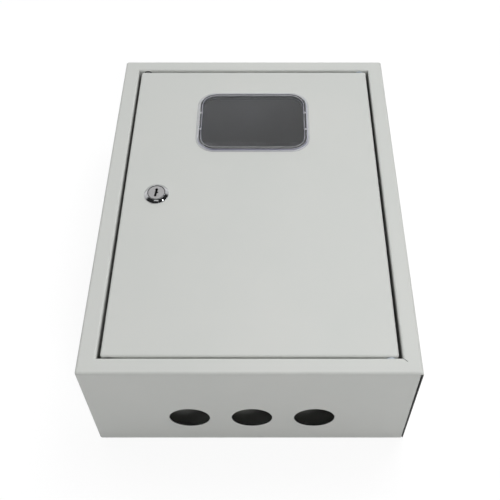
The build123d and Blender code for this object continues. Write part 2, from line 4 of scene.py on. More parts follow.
import bmesh
import bpy
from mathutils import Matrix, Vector


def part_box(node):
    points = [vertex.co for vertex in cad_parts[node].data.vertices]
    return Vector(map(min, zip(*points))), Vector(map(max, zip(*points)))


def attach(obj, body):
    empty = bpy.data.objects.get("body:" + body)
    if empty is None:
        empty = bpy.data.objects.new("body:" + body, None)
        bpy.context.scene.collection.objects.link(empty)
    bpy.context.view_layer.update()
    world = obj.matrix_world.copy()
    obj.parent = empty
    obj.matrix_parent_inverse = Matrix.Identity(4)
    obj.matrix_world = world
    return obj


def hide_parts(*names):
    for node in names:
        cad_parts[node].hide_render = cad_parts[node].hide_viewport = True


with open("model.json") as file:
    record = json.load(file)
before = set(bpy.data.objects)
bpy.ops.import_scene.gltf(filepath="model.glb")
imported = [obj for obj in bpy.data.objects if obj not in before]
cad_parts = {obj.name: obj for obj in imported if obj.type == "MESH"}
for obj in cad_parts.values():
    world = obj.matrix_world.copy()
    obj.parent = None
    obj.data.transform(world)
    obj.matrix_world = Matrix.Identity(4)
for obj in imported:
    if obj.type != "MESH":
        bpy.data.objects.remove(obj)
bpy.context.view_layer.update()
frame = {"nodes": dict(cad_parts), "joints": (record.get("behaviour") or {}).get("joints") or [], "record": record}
nodes = frame["nodes"]
scene = bpy.context.scene
scene.view_settings.view_transform = "Standard"

MM = 0.001

# Places taken from the frame
JOINTS = {joint["name"]: joint for joint in frame["joints"]}
HINGE_AXIS = Vector(JOINTS["door_hinge"]["pos_m"])
LOCK_AXIS = Vector(JOINTS["lock_turn"]["pos_m"])
CABLE_ENTRIES = [mount for mount in frame["record"]["mounts"] if mount["name"].startswith("cable_entry")]
SHELL_LOW, SHELL_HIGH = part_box("cabinet_shell")
WINDOW_LOW, WINDOW_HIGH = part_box("window_pane")
WINDOW_CENTRE = (WINDOW_LOW + WINDOW_HIGH) / 2
WINDOW_HALF = (WINDOW_HIGH - WINDOW_LOW) / 2
BARREL_LOW, BARREL_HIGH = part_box("lock_barrel")
DOOR_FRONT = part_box("door_panel")[1].z
FACE_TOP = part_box("lock_plug")[1].z
LOCK_SEAT = Vector((LOCK_AXIS.x, LOCK_AXIS.y, DOOR_FRONT))  # where the lock's axis meets the door

# Painted sheet, with the bare edges of its open seam and holes, and painted shade in the seam, round the spare
# hinge holes and in the gap beside the door
SHEET = 1.2 * MM
PAINT_FILM = 0.05 * MM
FRAME_SIDE = 16.6 * MM
FRAME_END = 15.4 * MM
SEAM_WIDTH = 2.7 * MM
SEAM_DEPTH = 2.2 * MM
SEAM_BELOW = 1.7 * MM  # from the front to the seam's top end
SPARE_SHADE_R = 5.0 * MM  # of the ring of painted shade round each spare hinge hole
GAP_DEPTH = 20.0 * MM  # of the walls beside the door
GAP_REACH = 0.3 * MM  # to either side of those walls
GAP_SHADE_START = 1.5 * MM  # below the door's front
GAP_SHADE_FULL = 6.0 * MM

# Spot welds of the back flange
WELD_LINE_X = 141.0 * MM
WELD_LINE_Y = 191.0 * MM
WELD_HALF_PITCH = 30.0 * MM
WELD_REACH_Z = 3.0 * MM
WELD_FLAT_R = 2.0 * MM
WELD_R = 2.9 * MM
WELD_SINK = -6.0  # of a dent, in heights of the paint's grain

# Window
WINDOW_CORNER = 21.0 * MM
WINDOW_CORNER_STEPS = 14
RIM_SEAT = 0.05 * MM  # of air between the flange and the door
RIM_BACK = DOOR_FRONT + RIM_SEAT
FLANGE_EDGE = 0.2 * MM  # upright part of the flange's outer edge
FLANGE_WIDTH = 2.0 * MM
FLANGE_RISE = 0.25 * MM
RIM_ROUND = 1.1 * MM
RIM_ROUND_STEPS = 5
RIM_FLAT = 2.0 * MM
RIM_LINE = 0.85 * MM  # width of the sloping line inside the flat, which takes the finish with painted light
RIM_LINE_FALL = 0.17 * MM
FLAT_OUTER = WINDOW_HALF.x - FLANGE_WIDTH - RIM_ROUND
FLAT_INNER = FLAT_OUTER - RIM_FLAT
PANE_STEP = 0.25 * MM  # width of the step down to the pane
PANE_STEP_FALL = 0.6 * MM
SKIRT_INSET = 3.7 * MM
SKIRT_WALL = 2.2 * MM
SKIRT_X = WINDOW_HALF.x - SKIRT_INSET
HOOK_SPREAD = 12.5 * MM
HOOK_Y = [WINDOW_CENTRE.y + side * HOOK_SPREAD for side in (-1, 1)]
HOOK_WIDTH = 6.0 * MM
HOOK_TOP = 1.3 * MM  # below the door's front
HOOK_REACH = 1.2 * MM
HOOK_NOSE = 0.2 * MM
POCKET_LENGTH = 3.4 * MM  # over each hook, in the rim
POCKET_MARGIN = 0.2 * MM
POCKET_DEPTH = 0.6 * MM

# Window finish: the upward parts of the normals of its milky edges, and the way that the ones with a painted
# highlight face
OUTER_EDGE_TILT = (0.05, 0.995)
INNER_EDGE_TILT = (0.9, 0.995)
PAINTED_LIGHT_WAY = (-0.4, 0.92, 0.0)
PLASTIC_IOR = 1.49

# Lock
LOCK_SIDES = 96
BEZEL_EDGE = 0.58 * MM  # upright part of the bezel's edge
BEZEL_EASE = 0.12 * MM
BEZEL_EASE_STEPS = 3
BEZEL_BULGE = 0.08 * MM
BEZEL_SLOPE_STEPS = 8
BEZEL_RIM = 0.2 * MM
FACE_RECESS_R = 9.0 * MM
FACE_RECESS_DEPTH = 1.15 * MM
RECESS_SHADE_BELOW = 0.25 * MM  # below the lock's front, where the painted shade in the recess starts
PLUG_HOLE_R = 6.05 * MM
SLOT_DEPTH = 9.0 * MM
BARREL_R = 9.0 * MM
BARREL_FLAT = 8.0 * MM
BARREL_TIP = 0.6 * MM

# Threaded studs
STUD_SIDES = 32
STUD_R = 3.0 * MM
STUD_FOOT = 1.0 * MM
STUD_TIP = 0.6 * MM
STUD_TIP_SHARE = 0.8  # of the stud's width, left at the tip
THREAD_PITCH = 1.0 * MM
THREAD_DEPTH = 0.5 * MM

# Modelling tests
NEAR = 0.05 * MM  # counts as being at a place
SAME_POINT = 0.002 * MM
FACING = 0.9  # least part of a normal along the way that a face looks
SMOOTH_ANGLE = 35.0  # degrees between faces that still look round
BEZEL_SMOOTH_ANGLE = 20.0

# Patterns: the spans over which their masks fade, and how many there are to a metre
NOISE_SPAN = (0.3, 0.7)
SMEAR_SPAN = (0.52, 0.78)
SPECK_SPAN = (0.02, 0.05)
SPECK_CHOICE = 0.86  # cells above it hold a speck
EDGE_SPAN = (0.85, 0.99)
PORE_SPAN = (0.15, 0.5)
TURNING_MARKS = 5200.0
ZINC_CRYSTALS = 110.0
FOAM_PORES = 1500.0

# Studio
FLOOR_SIZE = 12.0
FLOOR_DROP = 0.4 * MM  # below the box
ROOM_TURN = -0.25  # of the surround's bright end, towards the left
CAMERA_PLACE = (0.01441, -0.50428, 0.75909)
CAMERA_TILT = math.radians(39.747)
CAMERA_LENS = 56.466  # millimetres, as the sensor's width is
CAMERA_SENSOR = 36.0
CAMERA_SHIFT = (-0.03199, -0.13013)

# Ways that lie across an axis along Y or along Z
ACROSS_Y = Vector((1.0, 0.0, 1.0))
ACROSS_Z = Vector((1.0, 1.0, 0.0))

# Kinds of group sockets
VALUE = "NodeSocketFloat"
VECTOR = "NodeSocketVector"


# Node helpers
def linear(red, green, blue):
    """A solid colour from shares of light."""
    return (red, green, blue, 1.0)


def display(*levels):
    """A solid colour from screen levels of 0 to 255, by the sRGB curve."""
    return linear(*(((level / 255.0 + 0.055) / 1.055) ** 2.4 for level in levels))


def give(tree, node, values):
    """Set inputs of a node to constants, or link them to the sockets of other nodes."""
    for name, value in values.items():
        if isinstance(value, bpy.types.NodeSocket):
            tree.links.new(value, node.inputs[name])
        else:
            node.inputs[name].default_value = value


def new_node(tree, kind, values=None, **settings):
    """Put a node in a tree, with its settings and its inputs."""
    node = tree.nodes.new(kind)
    for name, value in settings.items():
        setattr(node, name, value)
    give(tree, node, values or {})
    return node


def maths(tree, operation, *values, clamp=False):
    """One step of arithmetic on sockets or numbers. Gives its output socket."""
    inputs = dict(enumerate(values))
    return new_node(tree, "ShaderNodeMath", inputs, operation=operation, use_clamp=clamp).outputs[0]


def combine(tree, operation, *values):
    """The same arithmetic from each value to the next, such as the product of several masks."""
    total = values[0]
    for value in values[1:]:
        total = maths(tree, operation, total, value)
    return total


def vector_maths(tree, operation, *vectors):
    """One step of arithmetic on vectors. Gives its output sockets."""
    return new_node(tree, "ShaderNodeVectorMath", dict(enumerate(vectors)), operation=operation).outputs


def parts_of(tree, vector):
    """The X, Y and Z of a vector, as sockets."""
    return new_node(tree, "ShaderNodeSeparateXYZ", {"Vector": vector}).outputs


def between(tree, mask, low, high, start=0.0, end=1.0):
    """A value that goes from low to high as a mask goes from start to end."""
    inputs = {"Value": mask, "From Min": start, "From Max": end, "To Min": low, "To Max": high}
    return new_node(tree, "ShaderNodeMapRange", inputs).outputs["Result"]


def tint(tree, mask, first, second, share=1.0):
    """A colour that goes from first to second with a share of a mask. Either may be a socket."""
    if share < 1.0:
        mask = maths(tree, "MULTIPLY", mask, share)
    # The sockets go by number, because this node has one set of names for several kinds
    return new_node(tree, "ShaderNodeMix", {0: mask, 6: first, 7: second}, data_type="RGBA").outputs[2]


def stretched(tree, place, scale=(1.0, 1.0, 1.0), shift=(0.0, 0.0, 0.0)):
    """The same place, scaled along each axis and then shifted."""
    inputs = {"Vector": place, "Scale": scale, "Location": shift}
    return new_node(tree, "ShaderNodeMapping", inputs).outputs["Vector"]


def noise(tree, place, size, detail, roughness=0.5):
    """Cloudy noise of a size, which is a socket."""
    scale = maths(tree, "DIVIDE", 1.0, size)
    inputs = {"Vector": place, "Scale": scale, "Detail": detail, "Roughness": roughness}
    return new_node(tree, "ShaderNodeTexNoise", inputs).outputs["Fac"]


def cells(tree, place, scale):
    """A pattern of uneven cells. Gives their distances and colours."""
    return new_node(tree, "ShaderNodeTexVoronoi", {"Vector": place, "Scale": scale}).outputs


def new_group(name, inputs, outputs):
    """An empty shader group with named sockets. Gives its tree, its input sockets and its output node."""
    group = bpy.data.node_groups.new(name, "ShaderNodeTree")
    for label, value in inputs.items():
        kind = VECTOR if value is None else VALUE
        socket = group.interface.new_socket(name=label, in_out="INPUT", socket_type=kind)
        if value is not None:
            socket.default_value = value
    for label, kind in outputs.items():
        group.interface.new_socket(name=label, in_out="OUTPUT", socket_type=kind)
    source = group.nodes.new("NodeGroupInput").outputs
    target = group.nodes.new("NodeGroupOutput")
    return group, source, target


# Effects, most of them shared by several finishes
def make_fine_grain():
    """Small bumps, and broad soft clouds that shift the colour and gloss a little."""
    tree, source, target = new_group(
        "Fine Grain",
        {"Place": None, "Grain Size": 1.0 * MM, "Cloud Size": 60 * MM},
        {"Height": VALUE, "Cloud": VALUE},
    )
    height = noise(tree, source["Place"], source["Grain Size"], detail=1.5)
    cloud = noise(tree, source["Place"], source["Cloud Size"], detail=4.0, roughness=0.55)
    give(tree, target, {"Height": height, "Cloud": between(tree, cloud, 0.0, 1.0, *NOISE_SPAN)})
    return tree


def make_handling():
    """Faint smears from hands and cloths, and a few specks of dust."""
    tree, source, target = new_group(
        "Handling",
        {"Place": None, "Smear Size": 30 * MM, "Speck Size": 4 * MM},
        {"Smear": VALUE, "Speck": VALUE},
    )
    drawn_out = stretched(tree, source["Place"], (1.0, 0.45, 1.0))
    smear = noise(tree, drawn_out, source["Smear Size"], detail=6.0, roughness=0.65)
    spots = cells(tree, source["Place"], maths(tree, "DIVIDE", 1.0, source["Speck Size"]))
    near = between(tree, spots["Distance"], 1.0, 0.0, *SPECK_SPAN)
    chosen = maths(tree, "GREATER_THAN", spots["Color"], SPECK_CHOICE)
    speck = maths(tree, "MULTIPLY", near, chosen)
    give(tree, target, {"Smear": between(tree, smear, 0.0, 1.0, *SMEAR_SPAN), "Speck": speck})
    return tree


def make_drawn_lines():
    """Fine lines left along a piece by rolling, drawing or brushing."""
    tree, source, target = new_group(
        "Drawn Lines",
        {"Place": None, "Line Width": 0.2 * MM},
        {"Height": VALUE, "Shade": VALUE},
    )
    along_x = stretched(tree, source["Place"], (0.02, 1.0, 1.0))
    lines = noise(tree, along_x, source["Line Width"], detail=3.0, roughness=0.6)
    give(tree, target, {"Height": lines, "Shade": between(tree, lines, 0.0, 1.0, *NOISE_SPAN)})
    return tree


def make_soft_edge():
    """A rounded normal at sharp edges, and a mask of where they are."""
    tree, source, target = new_group("Soft Edge", {"Radius": 0.3 * MM}, {"Edge": VALUE, "Normal": VECTOR})
    rounded = new_node(tree, "ShaderNodeBevel", {"Radius": source["Radius"]}, samples=4).outputs["Normal"]
    surface = new_node(tree, "ShaderNodeNewGeometry").outputs["Normal"]
    alike = vector_maths(tree, "DOT_PRODUCT", rounded, surface)["Value"]
    give(tree, target, {"Edge": between(tree, alike, 1.0, 0.0, *EDGE_SPAN), "Normal": rounded})
    return tree


def make_spot_welds():
    """Round dents of the spot welds along the back flange."""
    tree, source, target = new_group("Spot Welds", {"Place": None}, {"Dent": VALUE})
    parts = parts_of(tree, source["Place"])
    distances = []
    for across, along, line in (("X", "Y", WELD_LINE_X), ("Y", "X", WELD_LINE_Y)):
        off = maths(tree, "SUBTRACT", maths(tree, "ABSOLUTE", parts[across]), line)
        step = maths(tree, "PINGPONG", parts[along], WELD_HALF_PITCH)
        squares = maths(tree, "ADD", maths(tree, "POWER", off, 2.0), maths(tree, "POWER", step, 2.0))
        distances.append(maths(tree, "SQRT", squares))
    nearest = maths(tree, "MINIMUM", *distances)
    dent = between(tree, nearest, 1.0, 0.0, WELD_FLAT_R, WELD_R)
    low = maths(tree, "LESS_THAN", parts["Z"], WELD_REACH_Z)
    give(tree, target, {"Dent": maths(tree, "MULTIPLY", dent, low)})
    return tree


FINE_GRAIN = make_fine_grain()
HANDLING = make_handling()
DRAWN_LINES = make_drawn_lines()
SOFT_EDGE = make_soft_edge()
SPOT_WELDS = make_spot_welds()


# Finish helpers
def new_finish(name):
    """A material with its shader, and the place on the piece that its patterns follow."""
    material = bpy.data.materials.new(name)
    material.use_nodes = True
    tree = material.node_tree
    shader = tree.nodes["Principled BSDF"]
    place = tree.nodes.new("ShaderNodeTexCoord").outputs["Object"]
    return material, tree, shader, place


def use_group(tree, group, place=None, **values):
    """Place a shared effect in a material with its own values. Gives its outputs."""
    inputs = {name.replace("_", " ").title(): value for name, value in values.items()}
    if place is not None:
        inputs["Place"] = place
    return new_node(tree, "ShaderNodeGroup", inputs, node_tree=group).outputs


def rubbed(colour, gain, lift=0.0):
    """A brighter or paler colour, for edges that are rubbed."""
    return linear(*(min(1.0, gain * share + lift) for share in colour[:3]))


def bump(tree, shader, height, distance, normal=None):
    """Raise the surface by a height, over a normal where one is given."""
    inputs = {"Strength": 1.0, "Distance": distance, "Height": height}
    if normal is not None:
        inputs["Normal"] = normal
    give(tree, shader, {"Normal": new_node(tree, "ShaderNodeBump", inputs).outputs["Normal"]})


def within(tree, place, **limits):
    """One where a place lies between two levels along each named axis, and nothing elsewhere."""
    parts = parts_of(tree, place)
    tests = []
    for axis, (low, high) in limits.items():
        tests.append(maths(tree, "GREATER_THAN", parts[axis], low))
        tests.append(maths(tree, "LESS_THAN", parts[axis], high))
    return combine(tree, "MULTIPLY", *tests)


def from_axis(tree, place, point, across):
    """The distance of a place from an axis through a point, along the two ways across it."""
    centred = stretched(tree, place, across, -Vector(point) * across)
    return vector_maths(tree, "LENGTH", centred)["Value"]


# Masks of the painted sheet
def seam_edges_and_shade(tree, place):
    """A mask of the bare cut edges and the painted shade inside the open seam, at the bottom right corner."""
    return within(
        tree,
        place,
        X=(SHELL_HIGH.x - SEAM_WIDTH, SHELL_HIGH.x - PAINT_FILM),
        Y=(SHELL_LOW.y + PAINT_FILM, SHELL_LOW.y + SEAM_DEPTH),
        Z=(SHELL_LOW.z - PAINT_FILM, SHELL_HIGH.z - SEAM_BELOW),
    )


def hole_edges_and_shade(tree, place):
    """A mask of the cable entries' bare edges, which also carry painted shade, and of rings of painted shade round
    the spare hinge holes.
    """
    end_wall = within(tree, place, Y=(SHELL_LOW.y - PAINT_FILM, SHELL_LOW.y + SHEET + PAINT_FILM))
    edges = []
    for entry in CABLE_ENTRIES:
        out = from_axis(tree, place, entry["pos_m"], ACROSS_Y)
        hole = maths(tree, "LESS_THAN", out, entry["dims"]["r_mm"] * MM + PAINT_FILM)
        edges.append(maths(tree, "MULTIPLY", hole, end_wall))
    spare_axis = (-HINGE_AXIS.x, HINGE_AXIS.y, HINGE_AXIS.z)
    spare_shade = maths(tree, "LESS_THAN", from_axis(tree, place, spare_axis, ACROSS_Y), SPARE_SHADE_R)
    reach = SHEET + PAINT_FILM
    for wall in (SHELL_LOW.y + FRAME_END, SHELL_HIGH.y - FRAME_END):
        frame_wall = within(tree, place, Y=(wall - reach, wall + reach))
        edges.append(maths(tree, "MULTIPLY", spare_shade, frame_wall))
    return combine(tree, "MAXIMUM", *edges)


def gap_painted_shade(tree, place):
    """A mask of painted shade that grows with depth along the frame's side walls, in the door's gap."""
    parts = parts_of(tree, place)
    wall = SHELL_HIGH.x - FRAME_SIDE
    beside = maths(tree, "COMPARE", maths(tree, "ABSOLUTE", parts["X"]), wall, GAP_REACH)
    in_gap = within(
        tree,
        place,
        Y=(SHELL_LOW.y + FRAME_END, SHELL_HIGH.y - FRAME_END),
        Z=(DOOR_FRONT - GAP_DEPTH, DOOR_FRONT),
    )
    deep = between(tree, parts["Z"], 1.0, 0.0, DOOR_FRONT - GAP_SHADE_FULL, DOOR_FRONT - GAP_SHADE_START)
    return combine(tree, "MULTIPLY", beside, in_gap, deep)


# Finishes
def powder_coat():
    """Light grey powder coat on steel sheet, satin, with a faint orange-peel surface."""
    material, tree, shader, place = new_finish("powder_coat")
    grain = use_group(tree, FINE_GRAIN, place, grain_size=1.3 * MM, cloud_size=90 * MM)
    hands = use_group(tree, HANDLING, place, smear_size=60 * MM, speck_size=9 * MM)
    edge = use_group(tree, SOFT_EDGE, radius=0.35 * MM)
    welds = use_group(tree, SPOT_WELDS, place)
    bare_and_shade = maths(tree, "MAXIMUM", seam_edges_and_shade(tree, place), hole_edges_and_shade(tree, place))
    coat = tint(tree, grain["Cloud"], display(201, 203, 199), display(204, 205, 201))
    coat = tint(tree, edge["Edge"], coat, display(214, 214, 210), share=0.25)
    coat = tint(tree, hands["Speck"], coat, display(176, 174, 168), share=0.25)
    # Painted shade down the frame's side walls in the gap beside the door
    coat = tint(tree, gap_painted_shade(tree, place), coat, display(128, 128, 126))
    # Bare cut edges of the seam and the cable entries, painted dark, with painted shade in the seam and round the
    # spare hinge holes
    coat = tint(tree, bare_and_shade, coat, display(52, 52, 53))
    gloss = between(tree, hands["Smear"], 0.50, 0.44)
    gloss = maths(tree, "ADD", gloss, between(tree, grain["Height"], -0.03, 0.03, *NOISE_SPAN))
    give(tree, shader, {"Base Color": coat, "Roughness": gloss})
    raised = maths(tree, "MULTIPLY_ADD", welds["Dent"], WELD_SINK, grain["Height"])
    bump(tree, shader, raised, 0.025 * MM, edge["Normal"])
    return material


def clear_plastic():
    """Clear moulded plastic with a faint ripple and a few smears."""
    material, tree, shader, place = new_finish("clear_plastic")
    grain = use_group(tree, FINE_GRAIN, place, grain_size=14 * MM, cloud_size=40 * MM)
    hands = use_group(tree, HANDLING, place, smear_size=25 * MM, speck_size=8 * MM)
    clear = tint(tree, grain["Cloud"], linear(0.875, 0.887, 0.94), linear(0.895, 0.905, 0.95))
    haze = maths(tree, "ADD", between(tree, hands["Smear"], 0.015, 0.05), hands["Speck"])
    give(tree, shader, {"Base Color": clear, "Roughness": haze})
    give(tree, shader, {"IOR": PLASTIC_IOR, "Transmission Weight": 1.0})
    bump(tree, shader, grain["Height"], 0.02 * MM)
    return material


def frosted_edge():
    """The window's rounded edges, milky, in lit and shaded copies: a painted highlight to the left and top,
    painted shade below and on the inner sides.
    """
    material, tree, shader, place = new_finish("frosted_edge")
    grain = use_group(tree, FINE_GRAIN, place, grain_size=0.6 * MM, cloud_size=12 * MM)

    # Which way the surface looks, how level it is and how far it leans in from the window's sides
    normal = place.node.outputs["Normal"]
    lean = parts_of(tree, normal)
    sideways = vector_maths(tree, "NORMALIZE", stretched(tree, normal, ACROSS_Z))["Vector"]
    facing = vector_maths(tree, "DOT_PRODUCT", sideways, PAINTED_LIGHT_WAY)["Value"]
    # Masks of the painted highlight and the painted shade, by the way each face turns
    lit_side = between(tree, facing, 0.0, 1.0, start=0.2, end=0.4)
    below = between(tree, facing, 1.0, 0.0, start=-0.85, end=-0.5)
    level = between(tree, lean["Z"], 0.0, 1.0, start=0.972, end=0.984)
    off_centre = parts_of(tree, stretched(tree, place, shift=-WINDOW_CENTRE))
    outward = maths(tree, "MULTIPLY", lean["X"], off_centre["X"])
    inner_side_shade = between(tree, outward, 1.0, 0.0, start=-7.5 * MM, end=-4.5 * MM)

    # Lit and shaded copies of the milky plastic: a painted highlight on the edges turned left and up, painted
    # shade on those turned down, and the level flange coloured as the door's paint seen through it, with painted
    # shade below
    dim = tint(tree, grain["Cloud"], linear(0.42, 0.42, 0.52), linear(0.54, 0.54, 0.65))
    bright = tint(tree, grain["Cloud"], linear(0.84, 0.84, 0.88), linear(0.95, 0.95, 0.97))
    dark = tint(tree, grain["Cloud"], linear(0.20, 0.20, 0.27), linear(0.26, 0.26, 0.34))
    over_paint = tint(tree, grain["Cloud"], linear(0.56, 0.565, 0.57), linear(0.62, 0.625, 0.63))
    over_paint = tint(tree, below, over_paint, linear(0.46, 0.46, 0.50))
    milky = tint(tree, below, tint(tree, lit_side, dim, bright), dark)
    milky = tint(tree, level, milky, over_paint)
    # Painted shade on the inner sides at the left and right
    milky = tint(tree, inner_side_shade, milky, linear(0.27, 0.27, 0.32))
    rough = between(tree, grain["Height"], 0.10, 0.25, *NOISE_SPAN)
    give(tree, shader, {"Base Color": milky, "Roughness": rough})
    give(tree, shader, {"IOR": PLASTIC_IOR, "Transmission Weight": 0.2})
    bump(tree, shader, grain["Height"], 0.01 * MM)
    return material


def polished_chrome():
    """Bright chrome plate with soft smears and rounded edges, with painted shade in the recess round the lock's
    face.
    """
    material, tree, shader, place = new_finish("polished_chrome")
    grain = use_group(tree, FINE_GRAIN, place, grain_size=0.8 * MM, cloud_size=5 * MM)
    hands = use_group(tree, HANDLING, place, smear_size=6 * MM, speck_size=3 * MM)
    edge = use_group(tree, SOFT_EDGE, radius=0.1 * MM)
    sunk = within(tree, place, Z=(DOOR_FRONT, LOCK_AXIS.z - RECESS_SHADE_BELOW))
    out = from_axis(tree, place, LOCK_AXIS, ACROSS_Z)
    near_face = maths(tree, "LESS_THAN", out, FACE_RECESS_R + PAINT_FILM)
    recess_shade = maths(tree, "MULTIPLY", sunk, near_face)
    plate = tint(tree, grain["Cloud"], linear(0.53, 0.535, 0.55), linear(0.60, 0.605, 0.615))
    plate = tint(tree, edge["Edge"], plate, linear(0.66, 0.66, 0.67))
    # Painted shade in the recess round the lock's face
    plate = tint(tree, recess_shade, plate, linear(0.04, 0.04, 0.042))
    gloss = between(tree, hands["Smear"], 0.035, 0.08)
    give(tree, shader, {"Base Color": plate, "Roughness": gloss, "Metallic": 1.0})
    bump(tree, shader, grain["Height"], 0.001 * MM, edge["Normal"])
    return material


def turned_face():
    """The lock's plated face, with fine turning marks round its axis, and painted shade along its edges and below
    its face, in the key slot.
    """
    material, tree, shader, place = new_finish("turned_face")
    hands = use_group(tree, HANDLING, place, smear_size=5 * MM, speck_size=2.5 * MM)
    edge = use_group(tree, SOFT_EDGE, radius=0.15 * MM)
    edge_shade = use_group(tree, SOFT_EDGE, radius=0.95 * MM)
    rings = {"W": from_axis(tree, place, LOCK_AXIS, ACROSS_Z), "Scale": TURNING_MARKS, "Detail": 3.0}
    turning = new_node(tree, "ShaderNodeTexNoise", rings, noise_dimensions="1D").outputs["Fac"]
    marks = between(tree, turning, 0.0, 1.0, *NOISE_SPAN)
    slot = within(tree, place, Z=(FACE_TOP - SLOT_DEPTH, FACE_TOP - PAINT_FILM))
    plate = tint(tree, marks, linear(0.39, 0.385, 0.39), linear(0.47, 0.465, 0.47))
    # Painted shade along the face's edges, which widens the dark key slot and the groove round the face
    plate = tint(tree, edge_shade["Edge"], plate, linear(0.04, 0.04, 0.04))
    # Painted shade on all of the plug below its face, down into the key slot
    plate = tint(tree, slot, plate, linear(0.012, 0.012, 0.012))
    gloss = between(tree, hands["Smear"], 0.30, 0.38)
    give(tree, shader, {"Base Color": plate, "Roughness": gloss, "Metallic": 1.0})
    bump(tree, shader, marks, 0.004 * MM, edge["Normal"])
    return material


def plated_metal(name, dark, light, smooth, rough, cloud_size):
    """Plated small parts: two shades in clouds, brighter at the edges, duller where handled."""
    material, tree, shader, place = new_finish(name)
    grain = use_group(tree, FINE_GRAIN, place, grain_size=0.5 * MM, cloud_size=cloud_size)
    hands = use_group(tree, HANDLING, place, smear_size=8 * MM, speck_size=3 * MM)
    edge = use_group(tree, SOFT_EDGE, radius=0.25 * MM)
    plate = tint(tree, grain["Cloud"], dark, light)
    plate = tint(tree, edge["Edge"], plate, rubbed(light, gain=1.2), share=0.7)
    gloss = between(tree, grain["Cloud"], smooth, rough)
    gloss = maths(tree, "ADD", gloss, between(tree, hands["Smear"], 0.0, 0.12))
    give(tree, shader, {"Base Color": plate, "Roughness": gloss, "Metallic": 1.0})
    bump(tree, shader, grain["Height"], 0.006 * MM, edge["Normal"])
    return material


def zinc_plate():
    """Bright zinc plate."""
    dark, light = linear(0.60, 0.615, 0.64), linear(0.74, 0.75, 0.765)
    return plated_metal("zinc_plate", dark, light, smooth=0.20, rough=0.34, cloud_size=10 * MM)


def copper_plate():
    """The copper flash of weld studs."""
    dark, light = linear(0.70, 0.36, 0.25), linear(0.86, 0.50, 0.37)
    return plated_metal("copper_plate", dark, light, smooth=0.22, rough=0.34, cloud_size=8 * MM)


def galvanised_sheet():
    """Zinc-dipped sheet with its spangle of flat crystals and faint rolling lines."""
    material, tree, shader, place = new_finish("galvanised_sheet")
    lines = use_group(tree, DRAWN_LINES, place, line_width=0.6 * MM)
    edge = use_group(tree, SOFT_EDGE, radius=0.25 * MM)
    crystal = cells(tree, place, ZINC_CRYSTALS)["Color"]
    zinc = tint(tree, crystal, linear(0.34, 0.35, 0.365), linear(0.50, 0.51, 0.525))
    zinc = tint(tree, lines["Shade"], zinc, linear(0.45, 0.46, 0.47), share=0.2)
    zinc = tint(tree, edge["Edge"], zinc, linear(0.62, 0.63, 0.64))
    gloss = between(tree, crystal, 0.46, 0.62)
    give(tree, shader, {"Base Color": zinc, "Roughness": gloss, "Metallic": 1.0})
    bump(tree, shader, lines["Height"], 0.006 * MM, edge["Normal"])
    return material


def drawn_brass():
    """Extruded brass bar with lines along its length and a little tarnish."""
    material, tree, shader, place = new_finish("drawn_brass")
    lines = use_group(tree, DRAWN_LINES, place, line_width=0.25 * MM)
    grain = use_group(tree, FINE_GRAIN, place, grain_size=0.6 * MM, cloud_size=12 * MM)
    edge = use_group(tree, SOFT_EDGE, radius=0.3 * MM)
    brass = tint(tree, lines["Shade"], linear(0.71, 0.49, 0.22), linear(0.82, 0.60, 0.30))
    brass = tint(tree, grain["Cloud"], brass, linear(0.55, 0.36, 0.16), share=0.35)
    brass = tint(tree, edge["Edge"], brass, linear(0.90, 0.70, 0.40))
    gloss = between(tree, grain["Cloud"], 0.24, 0.36)
    give(tree, shader, {"Base Color": brass, "Roughness": gloss, "Metallic": 1.0})
    bump(tree, shader, lines["Height"], 0.008 * MM, edge["Normal"])
    return material


def moulded_plastic(name, dark, light):
    """Moulded plastic with a fine spark-eroded grain and paler rubbed edges."""
    material, tree, shader, place = new_finish(name)
    grain = use_group(tree, FINE_GRAIN, place, grain_size=0.35 * MM, cloud_size=9 * MM)
    edge = use_group(tree, SOFT_EDGE, radius=0.3 * MM)
    colour = tint(tree, grain["Cloud"], dark, light)
    colour = tint(tree, edge["Edge"], colour, rubbed(light, gain=0.6, lift=0.3), share=0.35)
    gloss = between(tree, grain["Height"], 0.38, 0.5, *NOISE_SPAN)
    give(tree, shader, {"Base Color": colour, "Roughness": gloss})
    bump(tree, shader, grain["Height"], 0.02 * MM, edge["Normal"])
    return material


def foam_rubber():
    """Dark cellular rubber with open pores, which are painted darker as painted shade."""
    material, tree, shader, place = new_finish("foam_rubber")
    grain = use_group(tree, FINE_GRAIN, place, grain_size=0.5 * MM, cloud_size=7 * MM)
    skin = between(tree, cells(tree, place, FOAM_PORES)["Distance"], 0.0, 1.0, *PORE_SPAN)
    rubber = tint(tree, grain["Cloud"], display(34, 34, 35), display(46, 46, 47))
    # Painted shade inside the pores
    rubber = tint(tree, skin, display(14, 14, 14), rubber)
    gloss = between(tree, grain["Height"], 0.75, 0.92)
    give(tree, shader, {"Base Color": rubber, "Roughness": gloss})
    bump(tree, shader, skin, 0.12 * MM)
    return material


FINISHES = {
    "painted_sheet": powder_coat(),
    "clear_plastic": clear_plastic(),
    "chrome": polished_chrome(),
    "zinc_steel": zinc_plate(),
    "copper_plate": copper_plate(),
    "galvanised_sheet": galvanised_sheet(),
    "brass_bar": drawn_brass(),
    "nylon": moulded_plastic("nylon", display(168, 177, 186), display(180, 188, 197)),
    "blue_plastic": moulded_plastic("blue_plastic", display(28, 74, 140), display(36, 88, 158)),
    "green_plastic": moulded_plastic("green_plastic", display(30, 112, 58), display(42, 128, 68)),
    "foam_rubber": foam_rubber(),
}

# Every carried-over piece takes the finish of its own slot, and the lock's face a turned one
for piece in nodes.values():
    for slot in piece.material_slots:
        slot.material = FINISHES[slot.material.name]
nodes["lock_plug"].material_slots[0].material = turned_face()


# Modelling helpers
def begin_piece():
    """Leave nothing selected, so that the next operators act on the new piece alone."""
    bpy.ops.object.select_all(action="DESELECT")


